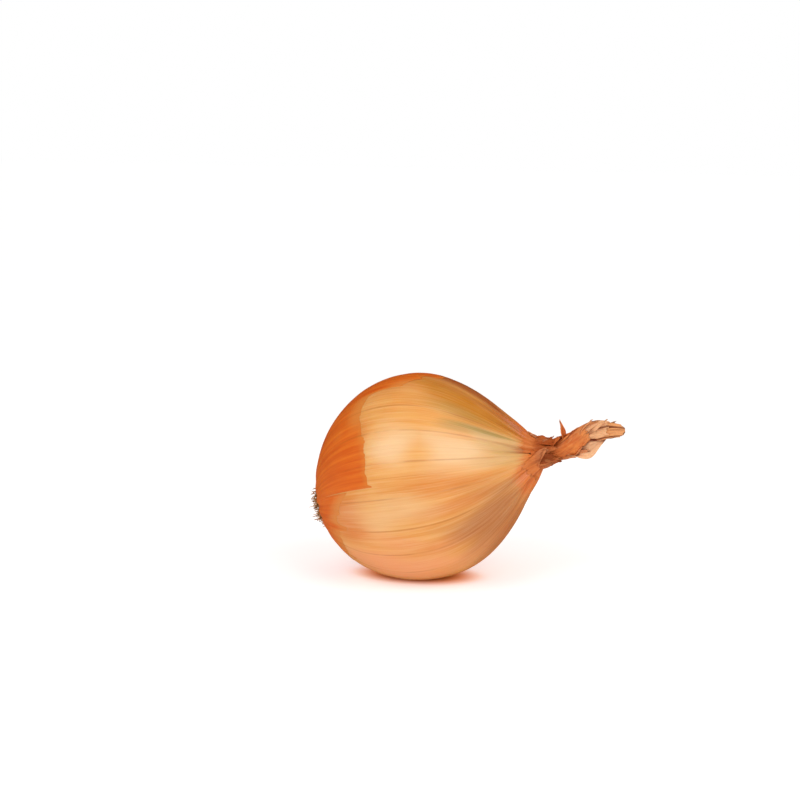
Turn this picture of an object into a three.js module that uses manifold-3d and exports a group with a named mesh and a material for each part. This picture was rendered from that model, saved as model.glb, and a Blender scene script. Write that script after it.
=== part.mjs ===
// A yellow onion as picked and dried, lying on its side. It has four pieces: the bulb in its dry
// golden skin, the torn remains of a darker outer skin, the twisted papery neck where the leaves
// withered, and the root plate with its dried rootlets.
// Millimetres, +Z up. The onion rests at Z = 0 on a small flat spot, and +X runs from its roots to
// its neck. Shapes are first drawn round the bulb's own axis, with the belly's middle at the origin,
// and the whole onion is then raised by the tilt at which it lies.

import * as THREE from "three";
import { mergeVertices } from "three/addons/utils/BufferGeometryUtils.js";
import Module from "manifold-3d";

const wasm = await Module();
wasm.setup();

// The bulb.
const BELLY_RADIUS = 37.7;
const ROOT_TO_BELLY = 39.3;
const BELLY_TO_NECK = 45.1;
const NECK_RADIUS = 5.3;
const ROOT_ROUNDNESS = 1.95; // 2 is a half sphere, and more is squarer
const SHOULDER_ROUNDNESS = 2.26; // more keeps the belly full for longer
const SHOULDER_SWEEP = 1.15; // over 1 draws the shoulder in to the neck in a hollow curve
const NECK_DROOP = -2.1; // how far the neck's foot stands above the axis
const ROOT_DROOP = -1.9; // the same for the root end
const DIMPLE_DEPTH = 1.6; // the hollow that the root plate sits in
const DIMPLE_RADIUS = 9;
const LIE_DEG = 16.4; // how far the neck is raised as the onion lies
const FLAT_SPOT_DEPTH = 0.9; // how much the belly is flattened where it rests

// The veins and pleats of the skin.
const BEST_SIDE_VEINS_DEG = [35.5, 52.5, 71, 90.5, 109, 126]; // round the belly, from the top
const VEIN_COUNT = 20;
const VEIN_JITTER_DEG = 2.2;
const VEIN_HEIGHT = 0.35;
const VEIN_WIDTH = 0.6;
const VEIN_FOOT_DEG = 1.5; // how far round the bulb a vein's two feet stand from its crest
const VEIN_TWIST_DEG = 7; // how far a vein turns round the bulb from belly to neck
const GORE_SWELL = 0.3; // how far the skin sinks from the middle of a gore to the veins beside it
const PLEAT_SHARE = 0.13; // depth of the neck's pleats, as a share of its radius
const PLEAT_START = 0.72; // where they begin, from 0 at the belly to 1 at the neck

// The outer skin that has not been rubbed off. Its torn edge is given by its distance from the root
// end at some angles round the bulb. The edge stays well clear of the spot that the onion rests on.
const SKIN_GAP = 0.35;
const SKIN_THICKNESS = 0.6;
const SKIN_SINK = 0.6; // how much slimmer the bulb is under the outer skin
const SKIN_HOLE_RADIUS = 9.5; // where it is worn through round the root plate
const EDGE_JITTER = 1.3;
const TORN_EDGE = [
  [0, 52],
  [17, 49],
  [24, 41],
  [30, 34],
  [44, 32],
  [62, 32],
  [80, 31],
  [87, 23],
  [100, 18],
  [130, 12],
  [160, 9],
  [190, 10],
  [206, 22],
  [214, 44],
  [232, 62],
  [254, 58],
  [268, 69],
  [292, 64],
  [306, 52],
  [322, 60],
  [340, 55],
];

// The neck: a strap of folded dead leaves, set by its stations along its length.
const NECK_GAP = 0.3;
const NECK_STATIONS = [
  // length along the strap, half width, half thickness, heading above the axis, roll of its width
  { along: 0, wide: 5.3, thick: 5.3, heading: -6, roll: 0 },
  { along: 2.4, wide: 4.7, thick: 4.5, heading: -6, roll: 0 },
  { along: 4.8, wide: 3.8, thick: 3.4, heading: -4, roll: 8 },
  { along: 7.0, wide: 3.1, thick: 2.6, heading: 0, roll: 20 },
  { along: 9.4, wide: 3.4, thick: 2.1, heading: 5, roll: 24 },
  { along: 12.6, wide: 3.9, thick: 1.8, heading: 11, roll: 16 },
  { along: 16.0, wide: 3.9, thick: 1.7, heading: 24, roll: 6 },
  { along: 19.6, wide: 3.5, thick: 1.6, heading: 23, roll: -4 },
  { along: 23.2, wide: 3.3, thick: 1.4, heading: -2, roll: -14 },
  { along: 27.6, wide: 3.0, thick: 1.2, heading: -12, roll: -20 },
  { along: 32.0, wide: 2.4, thick: 0.9, heading: -18, roll: -24 },
];
const NECK_SIDES = 36;
const NECK_FOLDS = 5;
const NECK_TATTER = 1.5; // how ragged the strap's end is

// Shreds of leaf that leave the neck. Each is given by where it starts along the strap, the angle
// round it, its length, width, how far it leans out and how much it curls back, in degrees.
const SHREDS = [
  { along: 8.5, round: 172, length: 17, wide: 3.4, lean: 9, curl: -22 },
  { along: 10.5, round: 208, length: 8, wide: 2.6, lean: 18, curl: 10 },
  { along: 3.6, round: -28, length: 11, wide: 3.8, lean: 12, curl: 6 },
  { along: 8.2, round: -52, length: 7.5, wide: 2.2, lean: 62, curl: 14 },
  { along: 2.0, round: 12, length: 4.6, wide: 2.4, lean: 64, curl: 60 },
  { along: 3.2, round: 62, length: 6.5, wide: 3.2, lean: 16, curl: -10 },
  { along: 2.6, round: 118, length: 7.0, wide: 3.4, lean: 14, curl: -14 },
  { along: 2.2, round: 205, length: 6.2, wide: 2.8, lean: 14, curl: -4 },
  { along: 3.4, round: 250, length: 9.5, wide: 3.6, lean: 20, curl: 8 },
  { along: 6.8, round: 276, length: 13, wide: 3.2, lean: 22, curl: -16 },
  { along: 2.4, round: 300, length: 5.2, wide: 2.6, lean: 48, curl: 48 },
];
const SHRED_THICKNESS = 0.7;

// The root plate and its rootlets.
const PLATE_RADIUS = 7.2;
const PLATE_HEIGHT = 2.2;
const ROOTLET_COUNT = 54;
const ROOTLET_RADIUS = 0.45;
const ROOTLET_SIDES = 3;
const ROOTLET_LENGTH = [2.4, 5.6];
const ROOT_GAP = 0.3;

const FULL_TURN = 2 * Math.PI;
const rad = THREE.MathUtils.degToRad;
const deg = THREE.MathUtils.radToDeg;
const smooth = THREE.MathUtils.smoothstep;

// A repeatable draw from -1 to 1 for each whole number, so that the onion is always the same one.
function draw(seed) {
  const wave = Math.sin(seed * 12.9898 + 4.1) * 43758.5453;
  return 2 * (wave - Math.floor(wave)) - 1;
}

// The veins' angles round the belly: the best side's as listed, the rest evenly spread with jitter.
function veinAngles() {
  const seen = BEST_SIDE_VEINS_DEG;
  const hidden = VEIN_COUNT - seen.length;
  const gap = (360 - (seen.at(-1) - seen[0])) / (hidden + 1);
  const others = Array.from({ length: hidden }, (_, i) => {
    return seen.at(-1) + gap * (i + 1) + VEIN_JITTER_DEG * draw(i);
  });
  return [...seen, ...others].map(rad);
}
const VEINS = veinAngles();

// How far the bulb's skin stands from its axis, at a distance from the root end.
function girth(s) {
  if (s < ROOT_TO_BELLY) {
    const back = (ROOT_TO_BELLY - s) / ROOT_TO_BELLY;
    return BELLY_RADIUS * (1 - back ** ROOT_ROUNDNESS) ** (1 / ROOT_ROUNDNESS);
  }
  const ahead = Math.min((s - ROOT_TO_BELLY) / BELLY_TO_NECK, 1);
  const full = (1 - ahead ** SHOULDER_ROUNDNESS) ** SHOULDER_SWEEP;
  return NECK_RADIUS + (BELLY_RADIUS - NECK_RADIUS) * full;
}

// Where the veins lie between their neighbours: 0 on a vein and 1 half way to the next.
function goreShare(angle) {
  const turned = ((((angle - VEINS[0]) % FULL_TURN) + FULL_TURN) % FULL_TURN) + VEINS[0];
  const next = VEINS.findIndex((v) => v > turned);
  const high = next < 0 ? VEINS[0] + FULL_TURN : VEINS[next];
  const low = VEINS[(next < 0 ? VEINS.length : next) - 1];
  const near = Math.min(turned - low, high - turned);
  return { share: (2 * near) / (high - low), near };
}

// How far from the root end the outer skin is torn off, at an angle in degrees from 0 to 360.
function tornEdge(degrees) {
  const at = ((degrees % 360) + 360) % 360;
  const next = TORN_EDGE.findIndex(([angle]) => angle > at);
  const [high, highEdge] = next < 0 ? [360, TORN_EDGE[0][1]] : TORN_EDGE[next];
  const [low, lowEdge] = TORN_EDGE[(next < 0 ? TORN_EDGE.length : next) - 1];
  return lowEdge + ((highEdge - lowEdge) * (at - low)) / (high - low);
}

// How far the skin stands above the plain bulb: veins, the gores between them, lumps, neck pleats
// and the sinking under the outer skin.
function relief(s, angle) {
  const radius = girth(s);
  const { share, near } = goreShare(angle);
  const open = smooth(radius, 8, 20);
  const vein = VEIN_HEIGHT * Math.exp(-(((near * radius) / VEIN_WIDTH) ** 2)) * open;
  const gore = GORE_SWELL * (Math.sin((share * Math.PI) / 2) - 1) * open;
  const lumps = radius * (0.004 * Math.cos(2 * angle + 1.1) + 0.003 * Math.cos(3 * angle - 0.4));
  const ahead = (s - ROOT_TO_BELLY) / BELLY_TO_NECK;
  const pleated = PLEAT_SHARE * radius * smooth(ahead, PLEAT_START, 1);
  const pleats = pleated * (0.6 * Math.cos(9 * angle) + 0.4 * Math.cos(14 * angle + 1));
  const pucker = 0.28 * Math.cos(18 * angle) * (1 - smooth(s, 1, 7)) * smooth(radius, 6, 11);
  const sunk = SKIN_SINK * smooth(tornEdge(deg(angle)) - s, -3, 3);
  return vein + gore + lumps + pleats + pucker - sunk;
}

// How steeply the girth grows along the bulb.
function slope(s) {
  const step = 0.2;
  const low = Math.max(s - step, 0);
  const high = Math.min(s + step, ROOT_TO_BELLY + BELLY_TO_NECK);
  return (girth(high) - girth(low)) / (high - low);
}

// A point of the skin in the onion's own frame, lifted off the bulb by lift.
function skinPoint(s, angle, lift = 0) {
  const ahead = Math.max(0, (s - ROOT_TO_BELLY) / BELLY_TO_NECK);
  const back = Math.max(0, (ROOT_TO_BELLY - s) / ROOT_TO_BELLY);
  const radius = girth(s);
  const turned = angle + rad(VEIN_TWIST_DEG) * (s / ROOT_TO_BELLY - 1);
  const steep = slope(s);
  const outward = 1 / Math.hypot(1, steep);
  const rise = relief(s, angle) + lift;
  const dimple = s < ROOT_TO_BELLY ? Math.max(0, 1 - (radius / DIMPLE_RADIUS) ** 2) ** 2 : 0;
  const across = radius + rise * outward;
  return new THREE.Vector3(
    s - ROOT_TO_BELLY - rise * steep * outward + DIMPLE_DEPTH * dimple,
    -across * Math.sin(turned),
    NECK_DROOP * ahead ** 2 + ROOT_DROOP * back ** 2 + across * Math.cos(turned),
  );
}

// A closed mesh through rings of points, each end capped by a fan round its ring's middle.
function loft(rings) {
  const count = rings[0].length;
  const last = (rings.length - 1) * count;
  const middles = [rings[0], rings.at(-1)].map((ring) => {
    return ring.reduce((sum, p) => sum.add(p), new THREE.Vector3()).divideScalar(count);
  });
  const points = [...rings.flat(), ...middles];
  const index = [];
  for (let j = 0; j < count; j++) {
    const k = (j + 1) % count;
    for (let here = 0; here < last; here += count) {
      const there = here + count;
      index.push(here + j, here + k, there + k, here + j, there + k, there + j);
    }
    index.push(points.length - 2, k, j, points.length - 1, last + j, last + k);
  }
  const geometry = new THREE.BufferGeometry().setFromPoints(points);
  geometry.setIndex(index);
  return geometry;
}

// A three.js geometry as a solid, turned the right way out.
function toSolid(geometry) {
  const mesh = { numProp: 3, vertProperties: geometry.attributes.position.array };
  const faces = new Uint32Array(geometry.index.array);
  const solid = new wasm.Manifold(new wasm.Mesh({ ...mesh, triVerts: faces }));
  if (solid.volume() > 0) return solid;
  for (let i = 0; i < faces.length; i += 3) [faces[i], faces[i + 1]] = [faces[i + 1], faces[i]];
  return new wasm.Manifold(new wasm.Mesh({ ...mesh, triVerts: faces }));
}

// The largest piece of a solid as a three.js geometry, without the scraps that a cut leaves.
function toGeometry(solid) {
  const largest = solid.decompose().sort((a, b) => b.volume() - a.volume())[0];
  const { vertProperties, triVerts } = largest.getMesh();
  const geometry = new THREE.BufferGeometry();
  geometry.setAttribute("position", new THREE.BufferAttribute(new Float32Array(vertProperties), 3));
  geometry.setIndex(new THREE.BufferAttribute(new Uint32Array(triVerts), 1));
  geometry.computeVertexNormals();
  return geometry;
}

// The angles at which the skin is sampled: each vein's crest and the middle of each gore, and for the
// bulb itself the feet of the veins too.
function columns(withFeet) {
  return VEINS.flatMap((vein, i) => {
    const next = VEINS[i + 1] ?? VEINS[0] + FULL_TURN;
    const foot = rad(VEIN_FOOT_DEG);
    const middle = (vein + next) / 2;
    return withFeet ? [vein, vein + foot, middle, next - foot] : [vein, middle];
  });
}
const COLUMNS = columns(true);
const SHEET_COLUMNS = columns(false);

// The bulb, larger all round by lift. Its rows are closer together near the root and the neck.
function bulbSolid(lift = 0, across = COLUMNS) {
  const rootRows = 12;
  const neckRows = 16;
  const rows = [];
  for (let i = 1; i <= rootRows; i++) {
    rows.push(ROOT_TO_BELLY * (1 - Math.cos((i / rootRows) * (Math.PI / 2))));
  }
  for (let i = 1; i <= neckRows; i++) {
    rows.push(ROOT_TO_BELLY + BELLY_TO_NECK * (i / neckRows) ** 0.9);
  }
  return toSolid(loft(rows.map((s) => across.map((angle) => skinPoint(s, angle, lift)))));
}

// A wedge of space that opens from the belly's middle to a torn edge and runs back past the roots.
// The edge's distance from the root end is given for each angle and its number.
function torn(edgeAt) {
  const reach = 1.6; // times the bulb's own size, so that the wedge stands out of it all round
  const edge = COLUMNS.map((angle, i) => skinPoint(edgeAt(angle, i), angle).multiplyScalar(reach));
  const behind = COLUMNS.map((angle) => {
    const direction = new THREE.Vector3(-reach, -reach * Math.sin(angle), reach * Math.cos(angle));
    return direction.multiplyScalar(BELLY_RADIUS);
  });
  const middle = edge.map((point) => point.clone().multiplyScalar(0.02));
  return toSolid(loft([middle, edge, behind]));
}

// The space of the worn hole in the outer skin round the root plate, narrowed by inset.
function wornHole(inset = 0) {
  const share = (SKIN_HOLE_RADIUS - inset) / BELLY_RADIUS;
  const worn = ROOT_TO_BELLY * (1 - Math.sqrt(1 - share ** 2));
  return torn((angle, i) => worn + 0.25 * draw(200 + i));
}

// The outer skin: a torn sheet round the root half of the bulb, just clear of it.
function outerSkinSolid() {
  const outside = bulbSolid(SKIN_GAP + SKIN_THICKNESS, SHEET_COLUMNS);
  const sheet = outside.subtract(bulbSolid(SKIN_GAP, SHEET_COLUMNS));
  const left = torn((angle, i) => tornEdge(deg(angle)) + EDGE_JITTER * draw(100 + i));
  return sheet.intersect(left).subtract(wornHole());
}

// The neck's stations as places in the onion's own frame, each with its own three directions.
function neckFrames() {
  const place = new THREE.Vector3(BELLY_TO_NECK + NECK_GAP, 0, NECK_DROOP);
  let before = 0;
  return NECK_STATIONS.map((station) => {
    const heading = rad(station.heading);
    const ahead = new THREE.Vector3(Math.cos(heading), 0, Math.sin(heading));
    const step = station.along - before;
    before = station.along;
    place.addScaledVector(ahead, step);
    const across = new THREE.Vector3(-Math.sin(heading), 0, Math.cos(heading));
    const side = new THREE.Vector3(0, -1, 0);
    const wide = across.clone().applyAxisAngle(ahead, rad(station.roll));
    const thick = side.clone().applyAxisAngle(ahead, rad(station.roll));
    return { ...station, place: place.clone(), ahead, wideWay: wide, thickWay: thick };
  });
}
const NECK = neckFrames();

// A frame anywhere along the strap, between its stations.
function neckAt(along) {
  const i = Math.min(NECK.findIndex((f) => f.along >= along), NECK.length - 1);
  const b = NECK[Math.max(i, 1)];
  const a = NECK[Math.max(i, 1) - 1];
  const t = (along - a.along) / (b.along - a.along);
  const mix = (key) => a[key].clone().lerp(b[key], t);
  return {
    place: mix("place"),
    ahead: mix("ahead").normalize(),
    wideWay: mix("wideWay").normalize(),
    thickWay: mix("thickWay").normalize(),
    wide: THREE.MathUtils.lerp(a.wide, b.wide, t),
    thick: THREE.MathUtils.lerp(a.thick, b.thick, t),
  };
}

// The strap itself: pleated round at its foot, pinched at the waist, then flat, folded and ragged.
function strapSolid() {
  const rings = NECK.map((frame, row) => {
    const flat = 1 - frame.thick / frame.wide;
    return Array.from({ length: NECK_SIDES }, (_, j) => {
      const angle = (FULL_TURN * j) / NECK_SIDES;
      const fold = 0.2 * Math.cos(NECK_FOLDS * angle + 0.3 * row) + 0.07 * Math.cos(12 * angle + row);
      const pleat = 0.08 * Math.cos(9 * angle) + 0.05 * Math.cos(14 * angle + 1);
      const deep = 1 + (row < 2 ? pleat : fold * (1 + 0.6 * flat));
      const tatter = row === NECK.length - 1 ? NECK_TATTER * draw(300 + j) : 0;
      return frame.place
        .clone()
        .addScaledVector(frame.wideWay, frame.wide * Math.cos(angle) * (row < 2 ? deep : 1))
        .addScaledVector(frame.thickWay, frame.thick * Math.sin(angle) * deep)
        .addScaledVector(frame.ahead, tatter);
    });
  });
  return toSolid(loft(rings));
}

// A thin shred of leaf: a ribbon that leaves the strap at an angle round it, then curls and tapers.
function shredSolid({ along, round, length, wide, lean, curl }) {
  const stops = 7;
  const frame = neckAt(along);
  const out = frame.wideWay.clone().multiplyScalar(Math.cos(rad(round)));
  out.addScaledVector(frame.thickWay, Math.sin(rad(round))).normalize();
  const width = frame.ahead.clone().cross(out).normalize();
  const reach = Math.hypot(frame.wide * Math.cos(rad(round)), frame.thick * Math.sin(rad(round)));
  const place = frame.place.clone().addScaledVector(out, 0.55 * reach);
  const rings = [];
  for (let i = 0; i <= stops; i++) {
    const t = i / stops;
    const tilt = rad(lean + curl * t);
    const way = frame.ahead.clone().multiplyScalar(Math.cos(tilt)).addScaledVector(out, Math.sin(tilt));
    const face = out.clone().multiplyScalar(Math.cos(tilt)).addScaledVector(frame.ahead, -Math.sin(tilt));
    const half = (wide / 2) * (1 - 0.75 * t ** 2.5) * (1 + 0.14 * draw(along * 50 + i));
    const arch = 0.35 * half;
    const corner = (w, f) => place.clone().addScaledVector(width, w).addScaledVector(face, f);
    const t2 = SHRED_THICKNESS / 2;
    rings.push([
      corner(-half, -t2 - arch),
      corner(0, -t2),
      corner(half, -t2 - arch),
      corner(half, t2 - arch),
      corner(0, t2),
      corner(-half, t2 - arch),
    ]);
    place.addScaledVector(way, length / stops);
  }
  return toSolid(loft(rings));
}

// The neck with its shreds fused to it, cut clear of the bulb.
function neckSolid() {
  const fused = SHREDS.reduce((sum, shred) => sum.add(shredSolid(shred)), strapSolid());
  return fused.subtract(bulbSolid(NECK_GAP));
}

// The root plate: a low rough dome at the middle of the root end.
function plateSolid() {
  const rings = [0, 0.35, 0.7, 1].map((rise, row) => {
    const across = PLATE_RADIUS * Math.sqrt(1 - 0.8 * rise ** 2);
    return Array.from({ length: 24 }, (_, j) => {
      const angle = (FULL_TURN * j) / 24;
      const rough = 1 + 0.06 * draw(400 + j + 24 * row);
      return new THREE.Vector3(
        -ROOT_TO_BELLY + 2.5 - (PLATE_HEIGHT + 1.4) * rise,
        -across * rough * Math.sin(angle),
        ROOT_DROOP + across * rough * Math.cos(angle),
      );
    });
  });
  return toSolid(loft(rings));
}

// One rootlet: a thin kinked thread from inside the plate. Those near its rim splay out the most.
function rootletSolid(number) {
  const share = Math.sqrt((number + 0.5) / ROOTLET_COUNT);
  const turn = number * rad(137.5) + 0.3 * draw(number + 500);
  const reach = 0.86 * PLATE_RADIUS * share;
  const outWay = new THREE.Vector3(0, -Math.sin(turn), Math.cos(turn));
  const place = new THREE.Vector3(-ROOT_TO_BELLY + 0.6, 0, ROOT_DROOP).addScaledVector(outWay, reach);
  const [shortest, longest] = ROOTLET_LENGTH;
  const length = THREE.MathUtils.mapLinear(draw(number + 600), -1, 1, shortest, longest) + 1.5;
  const splay = rad(12 + 52 * share ** 2 + 16 * draw(number + 700));
  const drift = rad(70 * draw(number + 800));
  const stops = 4;
  const rings = [];
  for (let i = 0; i <= stops; i++) {
    const t = i / stops;
    const tilt = splay + rad(34) * t * draw(number + 900);
    const side = new THREE.Vector3(0, -Math.cos(turn), -Math.sin(turn));
    const way = new THREE.Vector3(-Math.cos(tilt), 0, 0)
      .addScaledVector(outWay, Math.sin(tilt) * Math.cos(drift * t))
      .addScaledVector(side, Math.sin(tilt) * Math.sin(drift * t));
    const one = way.clone().cross(side).normalize();
    const two = way.clone().cross(one).normalize();
    const thin = ROOTLET_RADIUS * (1 - 0.35 * t);
    rings.push(
      Array.from({ length: ROOTLET_SIDES }, (_, corner) => {
        const angle = (FULL_TURN * corner) / ROOTLET_SIDES;
        return place
          .clone()
          .addScaledVector(one, thin * Math.cos(angle))
          .addScaledVector(two, thin * Math.sin(angle));
      }),
    );
    place.addScaledVector(way, length / stops);
  }
  return toSolid(loft(rings));
}

// The root plate with its rootlets fused to it, cut clear of the bulb and the outer skin.
function rootsSolid() {
  let fused = plateSolid();
  for (let i = 0; i < ROOTLET_COUNT; i++) fused = fused.add(rootletSolid(i));
  const coated = bulbSolid(SKIN_GAP + SKIN_THICKNESS + ROOT_GAP).subtract(wornHole(ROOT_GAP));
  return fused.subtract(bulbSolid(ROOT_GAP)).subtract(coated);
}

// The bulb with the small flat spot that it rests on. The cutter stands level as the onion lies.
function bulbOnFlatSpot(raised) {
  raised.computeBoundingBox();
  const floor = raised.boundingBox.min.z + FLAT_SPOT_DEPTH;
  const cutter = new THREE.BoxGeometry(200, 200, 20);
  cutter.deleteAttribute("normal");
  cutter.deleteAttribute("uv");
  cutter.translate(0, 0, floor - 10);
  return { solid: toSolid(raised).subtract(toSolid(mergeVertices(cutter))), floor };
}

const FINISHES = {
  bulb: new THREE.MeshStandardMaterial({ color: "#e6a35c", roughness: 0.38, metalness: 0 }),
  outer_skin: new THREE.MeshStandardMaterial({ color: "#d2691e", roughness: 0.42, metalness: 0 }),
  neck: new THREE.MeshStandardMaterial({ color: "#b9703f", roughness: 0.75, metalness: 0 }),
  roots: new THREE.MeshStandardMaterial({ color: "#8f6d4c", roughness: 0.9, metalness: 0 }),
};

// The whole onion, raised as it lies and set down with its box's middle over the origin.
function buildOnion() {
  const raise = new THREE.Matrix4().makeRotationY(-rad(LIE_DEG));
  const lie = (solid) => toGeometry(solid).applyMatrix4(raise);
  const bulb = bulbOnFlatSpot(lie(bulbSolid()));
  const geometries = {
    bulb: toGeometry(bulb.solid),
    outer_skin: lie(outerSkinSolid()),
    neck: lie(neckSolid()),
    roots: lie(rootsSolid()),
  };
  const onion = new THREE.Group();
  onion.name = "onion";
  for (const [name, geometry] of Object.entries(geometries)) {
    const mesh = new THREE.Mesh(geometry, FINISHES[name]);
    mesh.name = name;
    onion.add(mesh);
  }
  const middle = new THREE.Box3().setFromObject(onion).getCenter(new THREE.Vector3());
  onion.position.set(-middle.x, -middle.y, -bulb.floor);
  return onion;
}

const onion = buildOnion();

export default onion;
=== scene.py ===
# %% [markdown]
# # A yellow onion on its side
#
# A yellow onion is a bulb of fleshy layers in a dry, papery skin. Where the leaves died back it ends
# in a twisted neck, and at the other end dried rootlets hang from a small brown plate. This lesson
# dresses a plain solid model of one. It grows every surface from one formula for the bulb's outline,
# so the skin, its veins and the torn outer layer all follow the same shape.
#
# The plain model comes first. It fixes where everything is, and nothing here moves it.

# %% Load the plain model
import math

import bpy
import numpy as np
from mathutils import Matrix, Vector


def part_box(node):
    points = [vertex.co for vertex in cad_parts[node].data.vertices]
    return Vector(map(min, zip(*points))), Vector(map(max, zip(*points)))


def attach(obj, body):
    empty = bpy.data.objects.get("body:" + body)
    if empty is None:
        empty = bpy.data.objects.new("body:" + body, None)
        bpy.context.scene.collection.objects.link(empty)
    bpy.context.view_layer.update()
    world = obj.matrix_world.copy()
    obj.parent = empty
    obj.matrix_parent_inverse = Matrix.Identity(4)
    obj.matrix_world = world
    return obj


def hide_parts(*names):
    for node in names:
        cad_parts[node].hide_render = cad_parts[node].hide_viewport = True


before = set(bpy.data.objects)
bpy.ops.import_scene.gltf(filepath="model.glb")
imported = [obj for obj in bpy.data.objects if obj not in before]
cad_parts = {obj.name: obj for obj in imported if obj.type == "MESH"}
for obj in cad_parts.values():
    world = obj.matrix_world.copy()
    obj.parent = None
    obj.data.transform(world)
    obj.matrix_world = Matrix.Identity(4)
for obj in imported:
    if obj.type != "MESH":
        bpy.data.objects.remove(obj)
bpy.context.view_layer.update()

print("nodes:", sorted(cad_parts))

# %% [markdown]
# ## The bulb's outline
#
# Half of a bulb's outline is close to a half circle round the roots, and the other half runs full
# and then sweeps in to the neck in a hollow curve. A drawn profile with a Screw modifier could make
# it. A formula is used here instead, because the veins, the pleats and the torn skin can then be
# placed by their distance from the root end and their angle round the axis. All lengths are in
# millimetres until a mesh is made.

# %% The outline as a formula
BELLY_RADIUS = 37.7
ROOT_TO_BELLY = 39.3
BELLY_TO_NECK = 45.1
NECK_RADIUS = 5.3
ROOT_ROUNDNESS = 1.95
SHOULDER_ROUNDNESS = 2.26
SHOULDER_SWEEP = 1.15
NECK_DROOP = -2.1
ROOT_DROOP = -1.9
DIMPLE_DEPTH = 1.6
DIMPLE_RADIUS = 9.0
LIE = math.radians(16.4)
FLAT_SPOT_DEPTH = 0.9
NECK_END = ROOT_TO_BELLY + BELLY_TO_NECK


def girth(s):
    """How far the skin stands from the axis, at a distance s from the root end."""
    back = np.clip((ROOT_TO_BELLY - s) / ROOT_TO_BELLY, 0, 1)
    ahead = np.clip((s - ROOT_TO_BELLY) / BELLY_TO_NECK, 0, 1)
    rear = BELLY_RADIUS * (1 - back**ROOT_ROUNDNESS) ** (1 / ROOT_ROUNDNESS)
    full = (1 - ahead**SHOULDER_ROUNDNESS) ** SHOULDER_SWEEP
    return np.where(s < ROOT_TO_BELLY, rear, NECK_RADIUS + (BELLY_RADIUS - NECK_RADIUS) * full)


def smooth(value, low, high):
    """0 below low and 1 above high, with a soft S between them."""
    share = np.clip((value - low) / (high - low), 0, 1)
    return share * share * (3 - 2 * share)


print("radius 10 mm before the neck's foot:", round(float(girth(np.array(NECK_END - 10))), 1), "mm")

# %% [markdown]
# ## Veins, swell and pleats
#
# About twenty veins run from the roots to the neck under the skin. The skin stands up a little along
# each one and swells between them, and near the neck it is gathered into pleats. These could be
# sculpted by hand, but sums of cosines give the same look and close on themselves round the bulb.
# The veins on the best side are listed, and the others are spread evenly with a seeded jitter.

# %% Veins and unevenness
BEST_SIDE_VEINS_DEG = [35.5, 52.5, 71, 90.5, 109, 126]
VEIN_COUNT = 20
VEIN_JITTER_DEG = 2.2
VEIN_HEIGHT = 0.05
VEIN_WIDTH = 0.5
VEIN_TWIST_DEG = 7
GORE_SWELL = 0.09
GATHER_HEIGHT = 0.16
GATHER_SHARE = 0.018
PUCKER_HEIGHT = 0.28
DENT_DEPTH = 0.09
CREASE_DEPTH = 0.022
PLEAT_SHARE = 0.13
PLEAT_START = 0.72
FULL_TURN = 2 * math.pi


def draw(seed):
    """A repeatable number from -1 to 1 for each whole number, as the plain model uses."""
    wave = math.sin(seed * 12.9898 + 4.1) * 43758.5453
    return 2 * (wave - math.floor(wave)) - 1


def vein_angles():
    """The veins' angles round the belly, in radians from the top."""
    seen = BEST_SIDE_VEINS_DEG
    hidden = VEIN_COUNT - len(seen)
    gap = (360 - (seen[-1] - seen[0])) / (hidden + 1)
    others = [seen[-1] + gap * (i + 1) + VEIN_JITTER_DEG * draw(i) for i in range(hidden)]
    return np.radians(seen + others)


VEINS = vein_angles()


def nearest(angle, lines):
    """The angle to the nearest of some lines round the bulb, and the share of the way to the middle."""
    turned = (angle - lines[0]) % FULL_TURN + lines[0]
    ends = np.append(lines, lines[0] + FULL_TURN)
    after = np.clip(np.searchsorted(ends, turned, side="right"), 1, len(lines))
    low, high = ends[after - 1], ends[after]
    near = np.minimum(turned - low, high - turned)
    return near, 2 * near / (high - low)


def ripples(angle, s, seed, waves_round, waves_per_mm, count=7):
    """A seeded unevenness, mostly from -1 to 1, that closes on itself round the bulb."""
    chance = np.random.default_rng(seed)
    total = np.zeros(np.broadcast(angle, s).shape)
    for _ in range(count):
        around = chance.integers(waves_round[0], waves_round[1] + 1)
        along = chance.uniform(*waves_per_mm) * chance.choice([-1, 1])
        total = total + np.cos(around * angle + FULL_TURN * along * s + chance.uniform(0, FULL_TURN))
    return total / math.sqrt(2 * count)


def edge_ripples(angle, seed, waves_round):
    """An unevenness that only changes round the bulb, for torn edges."""
    return ripples(angle, 0.0, seed, waves_round, (0, 0))


def crossed(rows, columns):
    """Each point's row value and each point's column value, for a grid of points."""
    return np.meshgrid(rows, columns, indexing="ij")


print("veins at, in degrees:", [round(float(v)) for v in np.degrees(VEINS)])

# %% [markdown]
# ## A point of the skin
#
# Every skin surface asks the same question: where is the point at this distance from the roots, at
# this angle, lifted this far off the flesh? The answer adds the relief to the outline along its
# normal. The whole onion is then raised by the angle at which it lies and set down where the plain
# model has it.

# %% From distance and angle to a place
def pleat_wave(angle):
    """The pleats near the neck, from -1 in their hollows to 1 on their crests."""
    return 0.6 * np.cos(9 * angle) + 0.4 * np.cos(14 * angle + 1)


def gather_wave(s, angle):
    """The finer gathers on the pleats, mostly from -1 to 1."""
    return ripples(angle, s, 11, (26, 58), (0, 0.012), 9)


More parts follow.
